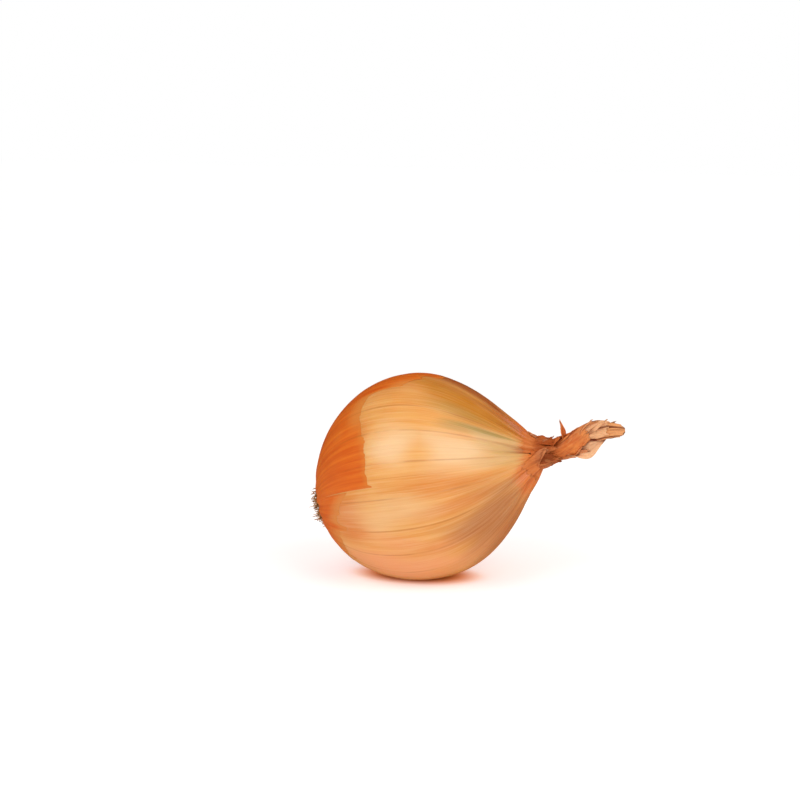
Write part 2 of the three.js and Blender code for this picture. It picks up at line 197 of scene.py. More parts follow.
def relief(s, angle):
    """How far the skin stands above the plain outline."""
    radius = girth(s)
    near, share = nearest(angle, VEINS)
    ahead = (s - ROOT_TO_BELLY) / BELLY_TO_NECK
    open_skin = smooth(radius, 8, 20)
    vein = VEIN_HEIGHT * np.exp(-((near * radius / VEIN_WIDTH) ** 2)) * open_skin
    swell = GORE_SWELL * (np.sin(share * math.pi / 2) - 1) * open_skin
    lumps = radius * (0.004 * np.cos(2 * angle + 1.1) + 0.003 * np.cos(3 * angle - 0.4))
    pleats = pleat_wave(angle) * PLEAT_SHARE * radius * smooth(ahead, PLEAT_START, 1)
    gathers = gather_wave(s, angle) * smooth(ahead, 0.45, 0.95)
    gathers = gathers * np.minimum(GATHER_HEIGHT, GATHER_SHARE * radius)
    pucker = PUCKER_HEIGHT * np.cos(18 * angle) * (1 - smooth(s, 1, 7)) * smooth(radius, 6, 11)
    dents = DENT_DEPTH * ripples(angle, s, 12, (3, 9), (0.01, 0.04)) * open_skin
    creases = CREASE_DEPTH * ripples(angle, s, 13, (40, 110), (0, 0.02), 12) * open_skin
    return vein + swell + lumps + pleats + gathers + pucker + dents + creases


def on_axis_frame(s, angle, lift=0.0):
    """The point in the onion's own frame: X along its axis from the belly, Z up, before it lies down."""
    s, angle = np.broadcast_arrays(np.asarray(s, float), np.asarray(angle, float))
    radius = girth(s)
    low, high = np.clip(s - 0.2, 0, NECK_END), np.clip(s + 0.2, 0, NECK_END)
    steep = (girth(high) - girth(low)) / (high - low)
    outward = 1 / np.hypot(1, steep)
    rise = relief(s, angle) + lift
    across = radius + rise * outward
    turned = angle + math.radians(VEIN_TWIST_DEG) * (s / ROOT_TO_BELLY - 1)
    ahead = np.clip((s - ROOT_TO_BELLY) / BELLY_TO_NECK, 0, 1)
    back = np.clip((ROOT_TO_BELLY - s) / ROOT_TO_BELLY, 0, 1)
    dimple = np.clip(1 - (radius / DIMPLE_RADIUS) ** 2, 0, 1) ** 2 * (s < ROOT_TO_BELLY)
    x = s - ROOT_TO_BELLY - rise * steep * outward + DIMPLE_DEPTH * dimple
    y = -across * np.sin(turned)
    z = NECK_DROOP * ahead**2 + ROOT_DROOP * back**2 + across * np.cos(turned)
    return np.stack([x, y, z], -1)


def raised(points):
    """Points of the onion's own frame, turned by the angle at which it lies."""
    x, y, z = points[..., 0], points[..., 1], points[..., 2]
    return np.stack([x * math.cos(LIE) - z * math.sin(LIE), y, x * math.sin(LIE) + z * math.cos(LIE)], -1)


def find_shift():
    """The move, in millimetres, that sets the raised bulb down where the plain model has it."""
    s, angle = crossed(np.linspace(0.3, NECK_END, 160), np.linspace(0, FULL_TURN, 240))
    sample = raised(on_axis_frame(s, angle)).reshape(-1, 3)
    low, high = (np.array(corner) * 1000 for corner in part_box("bulb"))
    shift = (low + high) / 2 - (sample.min(0) + sample.max(0)) / 2
    shift[2] = -(sample[:, 2].min() + FLAT_SPOT_DEPTH)
    return shift


SHIFT = find_shift()


def placed(points):
    """Points of the onion's own frame where they belong, in millimetres."""
    return raised(np.asarray(points, float)) + SHIFT


print("belly's middle, in mm:", SHIFT.round(2))

# %% [markdown]
# ## Making meshes
#
# A surface is a grid of points, row by row, and a piece is a few grids joined in one mesh. Each
# point can carry marks, which are numbers that the materials read: how far the nearest vein is, or
# how green the skin is. Marks are kept on the mesh, so they stay put from every side.

# %% Grids to meshes
def grid_faces(rows, columns, wraps, first=0):
    """The four-sided faces of a grid whose rows of points may close on themselves."""
    row = np.arange(rows - 1)[:, None] * columns
    column = np.arange(columns if wraps else columns - 1)[None, :]
    beside = (column + 1) % columns
    corners = [row + column, row + beside, row + columns + beside, row + columns + column]
    return (np.stack([c.ravel() for c in corners], -1) + first).tolist()


def sheet_solid(top, bottom, marks):
    """A thin closed sheet between two open grids of points, with the marks of its top on both."""
    rows, columns = top.shape[:2]
    points = np.concatenate([top.reshape(-1, 3), bottom.reshape(-1, 3)])
    under = rows * columns
    faces = grid_faces(rows, columns, False)
    faces += [face[::-1] for face in grid_faces(rows, columns, False, under)]
    rim = [*range(columns), *range(2 * columns - 1, under, columns)]
    rim += [*range(under - 2, under - columns - 1, -1), *range(under - 2 * columns, 0, -columns)]
    faces += [[a, a + under, b + under, b] for a, b in zip(rim, rim[1:] + rim[:1])]
    doubled = {name: np.concatenate([value, value]) for name, value in marks.items()}
    return points, faces, doubled


def make_piece(name, parts, node_name, finish):
    """One object from several (points, faces, marks), which rides with the onion and replaces a node."""
    points, faces, marks, first = [], [], {key: [] for key in parts[0][2]}, 0
    for part_points, part_faces, part_marks in parts:
        points.append(part_points)
        faces += [[corner + first for corner in face] for face in part_faces] if first else part_faces
        for key, values in part_marks.items():
            marks[key].append(values)
        first += len(part_points)
    mesh = bpy.data.meshes.new(name)
    mesh.from_pydata((np.concatenate(points) / 1000).tolist(), [], faces)
    mesh.shade_smooth()
    for key, values in marks.items():
        values = np.concatenate(values)
        kind, field = ("FLOAT_VECTOR", "vector") if values.ndim == 2 else ("FLOAT", "value")
        mesh.attributes.new(key, kind, "POINT").data.foreach_set(field, values.ravel())
    piece = bpy.data.objects.new(name, mesh)
    bpy.context.scene.collection.objects.link(piece)
    mesh.materials.append(finish)
    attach(piece, "root")
    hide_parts(node_name)
    print(name, "has", len(mesh.polygons), "faces")


# %% [markdown]
# ## Nodes and colours
#
# Materials are graphs of nodes. One small function adds any node, sets it up and links it, and one
# turns a colour picked on a screen into the linear values that a shader works with. Every finish here
# is painted the way a stain is, in thin layers over a first colour, so a short list of layers says
# all there is to its colour.

# %% Helpers for materials
MIX_FACTOR, MIX_A, MIX_B, MIX_RESULT = 0, 6, 7, 2  # the sockets of a Mix node that mixes colours
MIX_COLOURS = {"data_type": "RGBA", "clamp_factor": True}
SOFT_STEP = {"interpolation_type": "SMOOTHSTEP"}
TIMES, PLUS, LARGER, LENGTH = ({"operation": name} for name in ("MULTIPLY", "ADD", "MAXIMUM", "LENGTH"))


def linear(hex_colour):
    """An sRGB hex colour as linear red, green, blue and alpha."""
    channels = [int(hex_colour[i : i + 2], 16) / 255 for i in (1, 3, 5)]
    return (*[c / 12.92 if c <= 0.04045 else ((c + 0.055) / 1.055) ** 2.4 for c in channels], 1.0)


def add(tree, kind, settings, inputs=(), output=0):
    """A new node with its settings, and its inputs set or linked, in order or by name. Gives a socket."""
    made = tree.nodes.new("ShaderNode" + kind)
    for name, value in settings.items():
        setattr(made, name, value)
    for name, value in inputs.items() if isinstance(inputs, dict) else enumerate(inputs):
        if isinstance(value, bpy.types.NodeSocket):
            tree.links.new(value, made.inputs[name])
        else:
            made.inputs[name].default_value = linear(value) if isinstance(value, str) else value
    return made.outputs[output]


def layered(tree, colour, layers):
    """A colour with others laid over it in turn, each by a share from 0 to 1.

    A share is a mark's name, a socket, or a value and the stretch over which it rises softly, with
    the shares at its two ends where they aren't 0 and 1.
    """
    for share, over in layers:
        if isinstance(share, str):
            share = add(tree, "Attribute", {"attribute_name": share}, (), "Fac")
        elif isinstance(share, tuple):
            share = add(tree, "MapRange", SOFT_STEP, share)
        sockets = {MIX_FACTOR: share, MIX_A: colour, MIX_B: over}
        colour = add(tree, "Mix", MIX_COLOURS, sockets, MIX_RESULT)
    return colour


def grain(tree, at, size_mm, detail=3.0, roughness=0.55):
    """A noise whose lumps have a size in millimetres along each axis of the place that it is read at."""
    spread = add(tree, "Mapping", {}, {"Vector": at, "Scale": [1 / size for size in size_mm]})
    inputs = {"Vector": spread, "Scale": 1.0, "Detail": detail, "Roughness": roughness}
    return add(tree, "TexNoise", {}, inputs, "Fac")


def finished(name, tree_maker, settings):
    """A material whose Principled shader has these settings, and whose other sockets the maker links."""
    material = bpy.data.materials.new(name)
    material.use_nodes = True
    tree = material.node_tree
    shader = tree.nodes["Principled BSDF"]
    for socket, value in settings.items():
        shader.inputs[socket].default_value = value
    for socket, source in tree_maker(tree).items():
        tree.links.new(source, shader.inputs[socket])
    print("material", name, "has", len(tree.nodes), "nodes")
    return material


# %% [markdown]
# ## The inner skin's finish
#
# The golden skin is a dried scale leaf: cellulose film a fifth of a millimetre thick, drawn tight
# over moist flesh as it cured. It is smooth with a soft gloss, light glows in it, and lengthwise
# fibres break the gloss into fine streaks. The fibres are about 0.2 mm apart, and are drawn at
# 0.45 mm because finer ones don't show. The veins are reddish-brown lines under half a millimetre
# wide. Its colour isn't even: it is paler where the film is thin, greener where light reached the
# flesh, and orange where an older layer is left near the neck. Deep in the pleats by the neck it is
# painted darker as painted shade.

# %% Material of the golden inner skin
FIBRE_MM = (0.45, 0.45, 16.0)
STREAK_MM = (1.6, 1.6, 34.0)
BLOTCH_MM = (9.0, 9.0, 14.0)
FADING_MM = (5.0, 5.0, 13.0)
ZONE_COLOURS = {
    "amber": "#d27426",
    "pale": "#e6be8b",
    "salmon": "#e79b68",
    "tan": "#aa6230",
    "shoulder": "#cfa364",
    "olive": "#c27808",
    "green": "#8c7c36",
    # painted shade on the top of the belly, and a darker tone low by the neck
    "russet": "#a94e04",
    "cap": "#d26408",
}


def skin_lines(tree):
    """What all dry skins share: fibres, broader streaks, blotches and the strength of the veins."""
    at = add(tree, "Attribute", {"attribute_name": "round_at"}, (), "Vector")
    from_vein = add(tree, "Attribute", {"attribute_name": "vein_mm"}, (), "Fac")
    from_small = add(tree, "Attribute", {"attribute_name": "small_vein_mm"}, (), "Fac")
    fading = add(tree, "MapRange", SOFT_STEP, (grain(tree, at, FADING_MM, 2.0), 0.38, 0.62, 0.2, 1.0))
    vein = add(tree, "MapRange", SOFT_STEP, (from_vein, 0.04, 0.48, 1.0, 0.0))
    small = add(tree, "MapRange", SOFT_STEP, (from_small, 0.05, 0.35, 0.4, 0.0))
    vein = add(tree, "Math", TIMES, (add(tree, "Math", LARGER, (vein, small)), fading))
    return grain(tree, at, FIBRE_MM), grain(tree, at, STREAK_MM, 4.0), grain(tree, at, BLOTCH_MM), vein


def film(tree, colour, fibre, streak, depth, least_rough, most_rough):
    """A dry skin's sockets: its colour, and the fibres and streaks that break up its gloss."""
    height = add(tree, "Math", PLUS, (fibre, add(tree, "Math", TIMES, (streak, 2.0))))
    bump = add(tree, "Bump", {}, {"Strength": 1.0, "Distance": depth, "Height": height})
    rough = add(tree, "MapRange", SOFT_STEP, (fibre, 0.3, 0.7, least_rough, most_rough))
    return {"Base Color": colour, "Roughness": rough, "Normal": bump}


def inner_skin(tree):
    fibre, streak, blotch, vein = skin_lines(tree)
    layers = [
        ((streak, 0.3, 0.7), "#e5a85d"),
        ((blotch, 0.5, 0.75, 0.0, 0.3), "#db8735"),
        *ZONE_COLOURS.items(),
        ((fibre, 0.35, 0.75, 0.0, 0.2), "#f7d19c"),
        (add(tree, "Math", TIMES, (vein, 0.38)), "#a8541c"),
        # painted shade deep in the pleats by the neck
        ("hollow", "#9a4a1c"),
    ]
    return film(tree, layered(tree, "#de9748", layers), fibre, streak, 0.00005, 0.3, 0.42)


INNER_SKIN = finished(
    "Dried_inner_scale",
    inner_skin,
    {
        "IOR": 1.47,
        "Metallic": 0.0,
        "Subsurface Weight": 0.25,
        "Subsurface Radius": (1.0, 0.42, 0.18),
        "Subsurface Scale": 0.002,
        "Coat Weight": 0.1,
        "Coat Roughness": 0.25,
    },
)

# %% [markdown]
# ## Where the skin's colours lie
#
# Each zone is a soft spot on the skin, given by its middle, its reach along the onion and round it,
# and its strength. The spots are uneven at their edges, as stains in leaves are. Two of them are
# painted shade on the top of the belly. A painted texture could do this too, but a few numbers are
# easier to adjust and need no unwrapping.

# %% Zones as soft spots
ZONES = {
    # zone: [(distance from the roots, angle from the top, reach along, reach round, strength)]
    "amber": [
        (18, 98, 11, 17, 0.9),
        (60, 102, 13, 5, 0.6),
        (50, 124, 12, 7, 0.45),
        (24, 45, 9, 22, 0.8),
        (47, 6, 16, 22, 0.5),
        (56, 86, 16, 7, 0.55),
        (45, 200, 40, 50, 0.45),
        (52, 280, 34, 60, 0.6),
    ],
    "pale": [
        (44, 60, 9, 11, 0.75),
        (64, 64, 12, 13, 0.85),
        (75, 56, 7, 16, 0.8),
        (38, 98, 16, 9, 0.5),
        (60, 240, 12, 14, 0.5),
        (30, 330, 14, 12, 0.4),
    ],
    "salmon": [
        (18, 100, 9, 14, 0.15),
        (30, 138, 22, 20, 0.9),
        (58, 150, 16, 14, 0.5),
        (40, 215, 20, 18, 0.5),
    ],
    "tan": [(69, 126, 15, 28, 0.85), (66, 160, 14, 24, 0.7), (70, 215, 12, 26, 0.6)],
    "shoulder": [(77, 64, 8, 24, 0.9)],
    "olive": [(64, 16, 16, 15, 1.0), (74, 20, 12, 16, 1.0), (72, 34, 9, 9, 0.7)],
    "green": [(71, 43, 9, 3.2, 0.7), (66, 46, 6, 3.5, 0.4), (66, 32, 9, 7, 0.3)],
    # the first two spots are painted shade on the top of the belly; the third darkens the skin low by the
    # neck
    "russet": [(64, -14, 22, 17, 0.95), (79, -8, 12, 24, 1.0), (74, 170, 12, 30, 0.5)],
}


def spot(s, angle, zone, seed):
    """How strong a zone is at each point, from 0 to 1."""
    uneven = 0.3 * ripples(angle, s, seed, (4, 22), (0.01, 0.05), 10)
    strongest = np.zeros(s.shape)
    for middle, degrees, along, around, strength in zone:
        off = (np.degrees(angle) - degrees + 180) % 360 - 180
        away = np.hypot((s - middle) / along, off / around) + uneven
        strongest = np.maximum(strongest, strength * (1 - smooth(away, 0.25, 1.5)))
    return strongest


def skin_marks(s, angle, hollow):
    """The marks that the skins' materials read, for a grid of points."""
    radius = girth(s)
    turns = np.stack([BELLY_RADIUS * np.cos(angle), BELLY_RADIUS * np.sin(angle), s], -1)
    wander = 0.35 * ripples(angle, s, 21, (2, 7), (0.02, 0.06))
    near, _ = nearest(angle, VEINS)
    small, _ = nearest(angle, SMALL_VEINS)
    marks = {
        "round_at": turns,
        "vein_mm": np.abs(near * radius + wander * 0.3),
        "small_vein_mm": small * radius,
        "hollow": hollow,
    }
    for number, (zone, spots) in enumerate(ZONES.items()):
        marks[zone] = spot(s, angle, spots, 30 + number)
    step = 3.5 * smooth(np.degrees(angle) % 360, 78, 104)
    edge = 81 - step + 0.7 * ripples(angle, s, 41, (5, 30), (0, 0.01))
    edge = edge + 1.2 * ripples(angle, s, 42, (40, 120), (0, 0.01), 12)
    marks["cap"] = 0.85 * smooth(s, edge - 1.6, edge + 1.8)
    return {
        name: value.reshape(-1, 3) if value.ndim == 3 else value.ravel()
        for name, value in marks.items()
    }


SMALL_VEINS = np.sort(VEINS + np.radians([8.2 + 2.5 * draw(60 + i) for i in range(VEIN_COUNT)]))
print("zones:", ", ".join(ZONES))

# %% [markdown]
# ## The bulb
#
# The bulb is one closed surface. Its rows are closer together where the outline bends, and each vein
# has a column of points right on its crest, because a ridge under a millimetre wide is lost between
# columns that are evenly spread. Where the onion rests, its belly is pressed flat.

# %% Build the bulb
POINTS_PER_GORE = 20
ROOT_ROWS = 90
NECK_ROWS = 140


def bulb_columns():
    """Angles round the bulb, crowded towards the veins."""
    ends = np.append(VEINS, VEINS[0] + FULL_TURN)
    share = np.linspace(0, 1, POINTS_PER_GORE, endpoint=False)
    crowded = share - 0.11 * np.sin(FULL_TURN * share)
    return np.concatenate([low + (high - low) * crowded for low, high in zip(ends, ends[1:])])


def pleat_hollow(s, angle):
    """How deep in a pleat of the neck a point lies, from 0 to 1."""
    ahead = (s - ROOT_TO_BELLY) / BELLY_TO_NECK
    deep = smooth(-pleat_wave(angle) - 0.4 * gather_wave(s, angle), 0.2, 1.2)
    return deep * smooth(ahead, 0.8, 1.0) * 0.8


def build_bulb():
    columns = bulb_columns()
    rear = ROOT_TO_BELLY * (1 - np.cos(np.linspace(0.03, math.pi / 2, ROOT_ROWS)))
    front = ROOT_TO_BELLY + BELLY_TO_NECK * np.linspace(0, 1, NECK_ROWS + 1)[1:] ** 0.9
    rows = np.concatenate([rear, front])
    s, angle = crossed(rows, columns)
    frayed = 1.3 + 0.7 * edge_ripples(angle, 17, (5, 17)) + 0.3 * edge_ripples(angle, 18, (20, 60))
    s = s - np.clip(frayed, 0.2, 3) * smooth(s, 76, NECK_END)
    points = placed(on_axis_frame(s, angle))
    points[..., 2] = np.maximum(points[..., 2], 0)
    # how deep each point lies in the pleats is kept as a mark for painted shade there
    marks = skin_marks(s, angle, pleat_hollow(s, angle))
    faces = grid_faces(len(rows), len(columns), True)
    ends = [points[0].mean(0), points[-1].mean(0)]
    flat = np.concatenate([points.reshape(-1, 3), ends])
    last = len(rows) * len(columns)
    for j in range(len(columns)):
        k = (j + 1) % len(columns)
        faces.append([last, k, j])
        faces.append([last + 1, last - len(columns) + j, last - len(columns) + k])
    for name, values in marks.items():
        marks[name] = np.concatenate([values, values[:1], values[-1:]])
    make_piece("Bulb", [(flat, faces, marks)], "bulb", INNER_SKIN)


build_bulb()

# %% [markdown]
# ## The outer skin's finish
#
# The outermost scale dried first and longest, so it is a deeper orange-brown than the skin below and
# a little rougher. It is a film too, so its edge lets some of the paler skin through.

# %% Material of the outer skin
def outer_skin(tree):
    fibre, streak, blotch, vein = skin_lines(tree)
    layers = [
        ((streak, 0.3, 0.7), "#e47016"),
        ((blotch, 0.5, 0.75, 0.0, 0.45), "#c64c06"),
        ("thin", "#df7e2c"),
        ("clear", "#dd843c"),
        ((fibre, 0.4, 0.75, 0.0, 0.16), "#e37e1c"),
        (add(tree, "Math", TIMES, (vein, 0.35)), "#a03c08"),
        # painted shade in the pleats, which this sheet has none of
        ("hollow", "#7c3512"),
    ]
    return film(tree, layered(tree, "#d45606", layers), fibre, streak, 0.00004, 0.36, 0.5)


OUTER_SKIN = finished(
    "Dried_outer_scale",
    outer_skin,
    {
        "IOR": 1.47,
        "Metallic": 0.0,
        "Subsurface Weight": 0.12,
        "Subsurface Radius": (1.0, 0.35, 0.12),
        "Subsurface Scale": 0.001,
        "Specular IOR Level": 0.3,
    },
)

# %% [markdown]
# ## The torn outer skin
#
# Dry onion skin tears along its fibres, so a torn edge runs in steps: short ragged stretches across
# the fibres, joined by straight splits along them. The edge below is a list of how far the skin
# still reaches at some angles, with steps and raggedness added by a formula. The sheet is given its
# real thinness and lies just off the bulb, and its edge lifts a little in places. On the best side
# it clings instead, and low down it also turns as pale as the skin under it, because there the real
# one shows no edge.

# %% Build the outer skin
TORN_EDGE = [
    (0, 54), (7, 52), (14, 48), (19, 45), (20.6, 39), (22, 34.5), (29, 32.4), (40, 31.6), (56, 33),
    (70, 32.4), (83.4, 32.2), (83.9, 21), (86, 18.6), (92, 15.6), (99, 13.6), (105, 13.6), (107, 17),
    (110, 16), (111, 12.6), (132, 12), (160, 9), (190, 10), (206, 22), (214, 44), (232, 62), (254, 58),
    (268, 69), (292, 64), (306, 52), (322, 60), (340, 56), (360, 54),
]  # fmt: skip
SKIN_THICKNESS = 0.08
SKIN_LIFT = 0.02
CURL_LIFT = 0.1
CLING_REACH = 6
CLEAR_REACH = 7
# Stretches round the bulb, in radians from the top: where each begins, from-to, and where it ends.
BELOW_THE_STEP = (math.radians(80), math.radians(86)), (2.5, 3.0)
BEST_SIDE = (0.15, 0.35), (1.44, 1.47)
UPPER_EDGE = (0.1, 0.3), (0.6, 0.95)
SKIN_HOLE_RADIUS = 9.5
SKIN_COLUMNS = 420
SKIN_ROWS = 72


def torn_edge(angle):
    """How far from the root end the outer skin still reaches, at each angle."""
    degrees = np.degrees(angle) % 360
    known = np.array(TORN_EDGE, float)
    chance = np.random.default_rng(5)
    splits = np.sort(chance.uniform(0, 360, 46))
    steps = chance.normal(0, 1, 47)[np.searchsorted(splits, degrees)] * np.where(degrees > 135, 2.0, 0.7)
    tatter = 0.3 * edge_ripples(angle, 51, (20, 60)) + 0.22 * edge_ripples(angle, 52, (70, 150))
    return np.interp(degrees, known[:, 0], known[:, 1]) + steps + tatter


def within(angle, begins, ends):
    """1 on a stretch round the bulb and 0 off it, with soft ends."""
    return smooth(angle, *begins) * (1 - smooth(angle, *ends))


def build_outer_skin():
    angles = np.linspace(0, FULL_TURN, SKIN_COLUMNS, endpoint=False)
    edge = torn_edge(angles)
    hole = ROOT_TO_BELLY * (1 - math.sqrt(1 - (SKIN_HOLE_RADIUS / BELLY_RADIUS) ** 2))
    hole = hole + 0.16 * edge_ripples(angles, 53, (8, 40))
    share = np.linspace(0, 1, SKIN_ROWS)[:, None]
    share = 1 - (1 - share) ** 1.35
    s = hole + (edge - hole) * share
    angle = np.broadcast_to(angles, s.shape)
    from_edge = edge - s
    curl = np.clip(edge_ripples(angle, 54, (3, 12)), 0, 1.5) * (1 - smooth(from_edge, 0, 4))
    loose = 0.05 * ripples(angle, s, 55, (6, 20), (0.02, 0.06))
    faded = within(angle, *BELOW_THE_STEP)
    clinging = np.maximum(faded, 0.85 * within(angle, *BEST_SIDE)) * (1 - smooth(from_edge, 0, CLING_REACH))
    lift = SKIN_LIFT + (CURL_LIFT * curl + np.clip(loose, 0.0, CURL_LIFT)) * (1 - clinging)
    under = placed(on_axis_frame(s, angle, lift))
    over = placed(on_axis_frame(s, angle, lift + SKIN_THICKNESS * (1 - 0.8 * clinging)))
    points = np.concatenate([over, under[::-1]])
    marks = skin_marks(s, angle, np.zeros(s.shape))
    marks = {name: values for name, values in marks.items() if name not in ZONE_COLOURS}
    thin = 0.6 * (1 - smooth(from_edge, 0, 2.6)) + 0.4 * smooth(loose, 0.02, 0.09)
    upper = within(angle, *UPPER_EDGE)
    thin = np.maximum(thin, upper * (1 - smooth(from_edge, 0, 9)))
    marks["thin"] = (thin * (1 - faded)).ravel()
    marks["clear"] = ((faded + 0.6 * upper) * (1 - smooth(from_edge, 0, CLEAR_REACH))).ravel()
    columns = SKIN_COLUMNS
    faces = grid_faces(2 * SKIN_ROWS, columns, True)
    last = (2 * SKIN_ROWS - 1) * columns
    faces += [[last + j, last + (j + 1) % columns, (j + 1) % columns, j] for j in range(columns)]
    for name, values in marks.items():
        grid = values.reshape(SKIN_ROWS, columns, -1)
        both = np.concatenate([grid, grid[::-1]]).reshape(-1, grid.shape[-1])
        marks[name] = both if both.shape[-1] == 3 else both.ravel()
    part = (points.reshape(-1, 3), faces, marks)
    make_piece("Outer_skin", [part], "outer_skin", OUTER_SKIN)


build_outer_skin()

# %% [markdown]
# ## The neck's finish
#
# The neck is what is left of the leaves: dead leaf bases that dried matt, pinkish-brown on their
# faces and pale straw where they are thin at the tip. Down in the folds, in the crevices by the
# collar and at the feet of the shreds they are painted dark brown as painted shade. Their fibres
# are drawn at 0.35 mm, a little coarser than they are, because finer ones don't show.

# %% Material of the withered neck
def withered_leaf(tree):
    at = add(tree, "Attribute", {"attribute_name": "leaf_at"}, (), "Vector")
    fibre = grain(tree, at, (0.35, 0.35, 6.0), 4.0)
    blotch = grain(tree, at, (2.2, 2.2, 5.0))
    layers = [
        ((blotch, 0.3, 0.7), "#da7e3a"),
        ("tip", "#e0a26a"),
        ("straw", "#eebb8e"),
        ("young", "#cb7032"),
        ((fibre, 0.45, 0.75, 0.0, 0.3), "#dc9a62"),
        ((fibre, 0.5, 0.25, 0.0, 0.35), "#94420f"),
        ("collar", "#9a4206"),
        # painted shade in the folds, in the crevices by the collar and at the feet of the shreds
        ("fold", "#6e2802"),
    ]
    height = add(tree, "Math", PLUS, (fibre, add(tree, "Math", TIMES, (blotch, 1.2))))
    return {
        "Base Color": layered(tree, "#c45e20", layers),
        "Roughness": add(tree, "MapRange", SOFT_STEP, (blotch, 0.3, 0.7, 0.58, 0.75)),
        "Normal": add(tree, "Bump", {}, {"Strength": 1.0, "Distance": 0.00012, "Height": height}),
    }


WITHERED_LEAF = finished(
    "Withered_leaf",
    withered_leaf,
    {
        "IOR": 1.45,
        "Metallic": 0.0,
        "Subsurface Weight": 0.1,
        "Subsurface Radius": (1.0, 0.5, 0.25),
        "Subsurface Scale": 0.0008,
        "Specular IOR Level": 0.3,
    },
)

# %% [markdown]
# ## The neck
#
# The leaves were gathered into a collar, pinched at a waist and then folded over as one flat strap.
# The strap is a tube whose section is deeply folded, swept along a bent centre line. Thin blades
# wrap it, end raggedly at different places, and a few stand off as shreds.

# %% The strap's centre line
NECK_STATIONS = [
    # length along the strap, half width, half thickness, heading above the axis, roll of its width
    (0, 5.3, 5.3, -6, 0),
    (2.4, 4.7, 4.5, -6, 0),
    (4.8, 3.8, 3.4, -4, 8),
    (7.0, 3.1, 2.6, 0, 20),
    (9.4, 3.4, 2.1, 5, 24),
    (12.6, 3.9, 1.8, 11, 16),
    (16.0, 3.9, 1.7, 24, 6),
    (19.6, 3.5, 1.6, 23, -4),
    (23.2, 3.2, 1.4, -2, -14),
    (27.6, 2.9, 1.2, -12, -20),
    (32.0, 2.3, 0.9, -18, -24),
]
NECK_GAP = 0.3
STRAP_STEP = 0.1


def eased(values, reach=11):
    """A row of numbers with its corners rounded off."""
    window = np.hanning(2 * reach + 1)
    padded = np.pad(values, reach, mode="reflect", reflect_type="odd")
    return np.convolve(padded, window / window.sum(), mode="valid")


def strap_line():
    """The strap's centre, directions and half sizes at close steps along it."""
    known = np.array(NECK_STATIONS, float)
    along = np.arange(0, known[-1, 0] + STRAP_STEP, STRAP_STEP)
    wide, thick, heading, roll = (eased(np.interp(along, known[:, 0], known[:, i])) for i in (1, 2, 3, 4))
    heading, roll = np.radians(heading), np.radians(roll)
    ahead = np.stack([np.cos(heading), np.zeros(len(along)), np.sin(heading)], -1)
    place = np.array([BELLY_TO_NECK + NECK_GAP, 0, NECK_DROOP]) + np.cumsum(ahead, 0) * STRAP_STEP
    across = np.stack([-np.sin(heading), np.zeros(len(along)), np.cos(heading)], -1)
    side = np.array([0, -1.0, 0])
    wide_way = across * np.cos(roll)[:, None] + side * np.sin(roll)[:, None]
    thick_way = side * np.cos(roll)[:, None] - across * np.sin(roll)[:, None]
    return along, {"place": place, "ahead": ahead, "wide_way": wide_way, "thick_way": thick_way,
                   "wide": wide[:, None], "thick": thick[:, None]}  # fmt: skip


STRAP_ALONG, STRAP = strap_line()


def strap_at(along):
    """The strap's line at some lengths along it, with straight ends beyond it."""
    beyond = along - np.clip(along, 0, STRAP_ALONG[-1])
    found = {
        key: np.stack([np.interp(along, STRAP_ALONG, column) for column in values.T], -1)
        for key, values in STRAP.items()
    }
    found["place"] = found["place"] + found["ahead"] * beyond[..., None]
    return found


print("strap reaches, in the onion's frame:", STRAP["place"][-1].round(1))

# %% [markdown]
# ## Blades and shreds
#
# A real neck is a bundle of torn leaves, and no two are alike. Scattering copies would look like a
# brush, so the leaves that show are listed one by one. Lengths are in millimetres, counted from the
# neck's foot, and angles are in degrees round the strap.

# %% The leaves that show
BLADES = [
    # start and end along the strap, middle of its wrap and its whole wrap in degrees, lift at its foot
    # and at its end, straw, how far it turns round the strap on its way, how much it narrows to its
    # end and how late on its way, and how much painted shade it has by the collar
    (-3.4, 6.2, 40, 60, 0.15, 0.5, 0.0, 0, 0.35, 3.0, 0),
    (-2.2, 5.4, 150, 70, 0.1, 0.25, 0.2, 0, 0.35, 3.0, 0),
    (-2.4, 4.4, 200, 80, 0.1, 0.1, 0.1, 0, 0.35, 3.0, 0),
    (-3.0, 5.4, 265, 84, 0.12, 0.3, 0.1, 0, 0.35, 3.0, 0),
    (-3.3, 6.0, 330, 70, 0.1, 0.9, 0.0, 0, 0.35, 3.0, 0),
    (-1.0, 6.6, 112, 46, 0.1, 0.5, 0.0, -18, 0.35, 3.0, 0.5),
    (0.6, 7.6, 142, 44, 0.1, 0.6, 0.2, -26, 0.35, 3.0, 0.35),
    (-3.2, 4.4, 136, 70, 0.35, 1.8, 0.3, -76, 0.88, 1.24, 0),
    (-0.5, 7.2, 5, 84, 0.5, 2.4, 0.0, 0, 0.35, 3.0, 0),
    (4.2, 20.5, 84, 168, 0.15, 0.5, 0.0, 0, 0.35, 3.0, 0),
    (6.0, 16.0, 150, 50, 0.2, 0.7, 0.25, 0, 0.35, 3.0, 0),
    (3.5, 24.0, 10, 90, 0.1, 0.5, 0.1, 0, 0.35, 3.0, 0),
    (3.0, 20.0, 300, 120, 0.1, 0.5, 0.1, 0, 0.35, 3.0, 0),
    (3.0, 17.0, 225, 100, 0.1, 0.6, 0.2, 0, 0.35, 3.0, 0),
    (13.5, 27.5, 72, 150, 0.0, 0.3, 0.65, 0, 0.35, 3.0, 0),
    (15.0, 31.5, 270, 140, 0.1, 0.4, 0.4, 0, 0.35, 3.0, 0),
]
